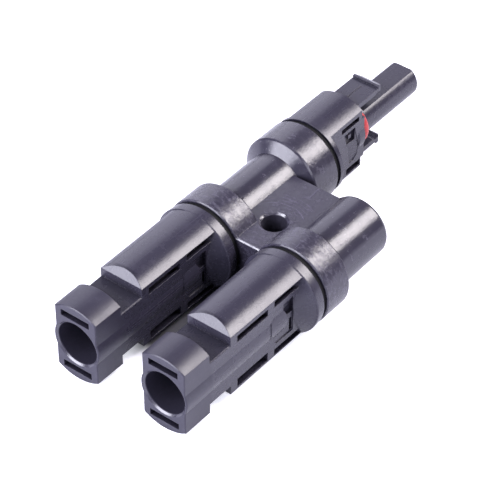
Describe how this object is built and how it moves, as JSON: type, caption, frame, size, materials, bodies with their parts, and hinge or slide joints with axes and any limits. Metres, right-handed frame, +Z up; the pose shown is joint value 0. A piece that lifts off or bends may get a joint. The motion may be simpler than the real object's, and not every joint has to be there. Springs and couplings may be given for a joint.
{
  "type": "solar cable branch connector",
  "caption": "Photovoltaic branch connector: two keyed socket housings and a latching plug with a sealed nose on one moulded body with a web and a mounting hole.",
  "frame": {"origin": "centre of the mounting hole, half way through the web, level with the connector axes", "axes": "+Y along the connector axes from the sockets to the plug's nose, +X from the line that carries the plug to the dead-ended line, +Z up, along the mounting hole"},
  "size_m": [0.042, 0.1119, 0.0192],
  "materials": {
    "body_moulding": "satin black moulding with fine speckle and rubbed collars",
    "housing_moulding": "smooth satin-gloss black moulding",
    "latch_moulding": "smooth satin-gloss black moulding",
    "red_seal": "smooth red silicone",
    "black_seal": "matt black rubber",
    "tinned_contact": "tin-plated copper, turned",
    "spring_copper": "sprung copper alloy strip",
    "clip_steel": "stainless spring strip",
    "busbar_copper": "bare copper bar"
  },
  "bodies": {
    "connector": {"branch_body": "body_moulding", "left_socket_housing": "housing_moulding", "right_socket_housing": "housing_moulding", "plug_housing": "housing_moulding", "nose_o_ring": "red_seal", "left_joint_gasket": "black_seal", "right_joint_gasket": "black_seal", "plug_joint_gasket": "black_seal", "left_contact_pin": "tinned_contact", "right_contact_pin": "tinned_contact", "socket_contact": "tinned_contact", "socket_contact_spring": "spring_copper", "left_retaining_clip": "clip_steel", "right_retaining_clip": "clip_steel", "plug_retaining_clip": "clip_steel", "line_busbar": "busbar_copper", "branch_busbar": "busbar_copper", "bridge_bar": "busbar_copper", "bridge_rivets": "busbar_copper"},
    "upper_latch": {"upper_latch_arm": "latch_moulding"},
    "lower_latch": {"lower_latch_arm": "latch_moulding"}
  },
  "joints": [
    {"name": "upper_latch_flex", "type": "hinge", "parent": "connector", "child": "upper_latch", "pos_m": [-0.01128, 0.0296, 0.00675], "axis": [-1, 0, 0], "range_deg": [0, 3.5]},
    {"name": "lower_latch_flex", "type": "hinge", "parent": "connector", "child": "lower_latch", "pos_m": [-0.01128, 0.0296, -0.00675], "axis": [1, 0, 0], "range_deg": [0, 3.5]}
  ]
}
